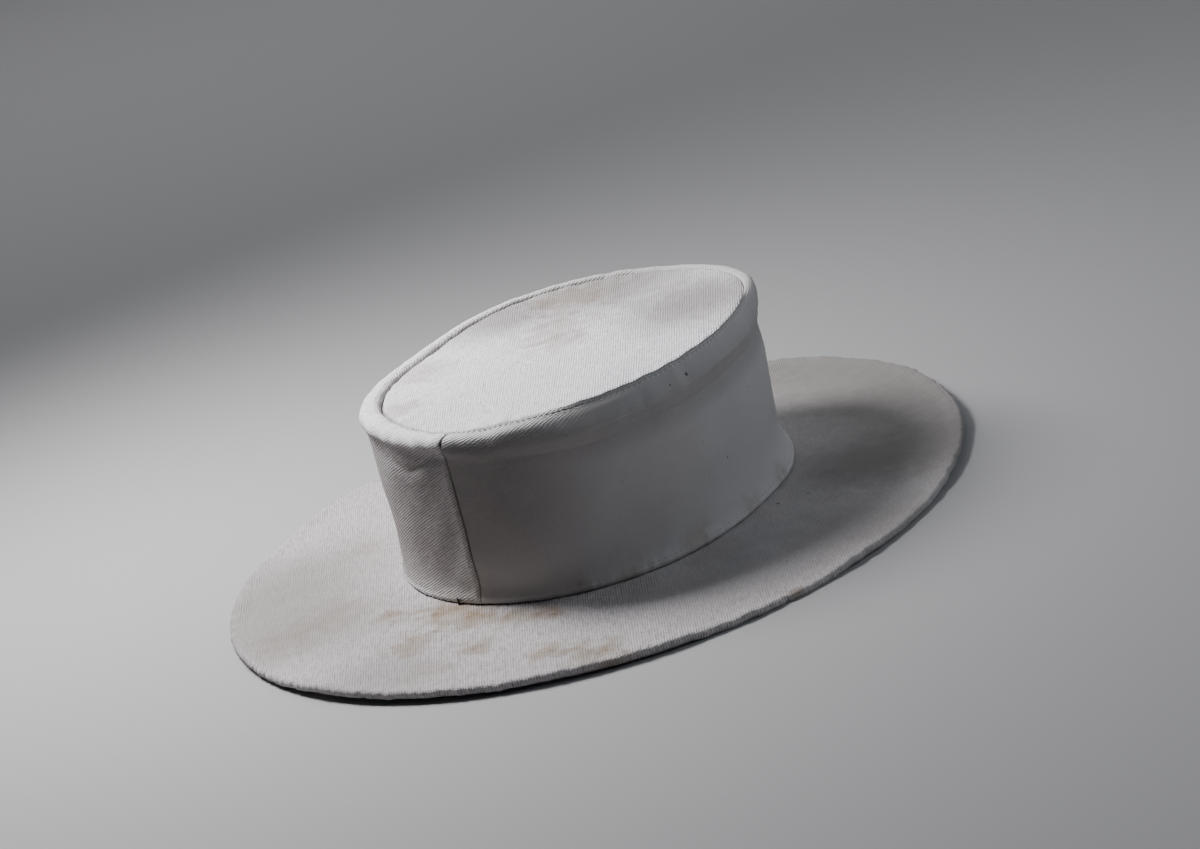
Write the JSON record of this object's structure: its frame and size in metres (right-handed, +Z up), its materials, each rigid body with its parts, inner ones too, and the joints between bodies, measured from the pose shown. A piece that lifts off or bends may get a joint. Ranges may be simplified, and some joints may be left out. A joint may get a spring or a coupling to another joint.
{
  "type": "boater hat",
  "caption": "Stiff canvas boater hat: an oval flat-topped crown with a rolled top edge and a sewn foot, on a wide, almost flat brim with a turned edge.",
  "frame": {"origin": "under the middle of the brim, on the surface that the hat rests on", "axes": "+Z up through the crown, +Y to the back where the side band's seam is, -Y to the front, X across the head"},
  "size_m": [0.326, 0.366, 0.0884],
  "materials": {
    "tip_drill": "matt off-white cotton drill, faintly soiled",
    "side_drill": "matt off-white cotton drill with a diagonal twill",
    "brim_drill": "matt off-white cotton drill with tan stains"
  },
  "bodies": {
    "root": {"crown_tip": "tip_drill", "crown_side": "side_drill", "brim": "brim_drill"}
  },
  "joints": []
}
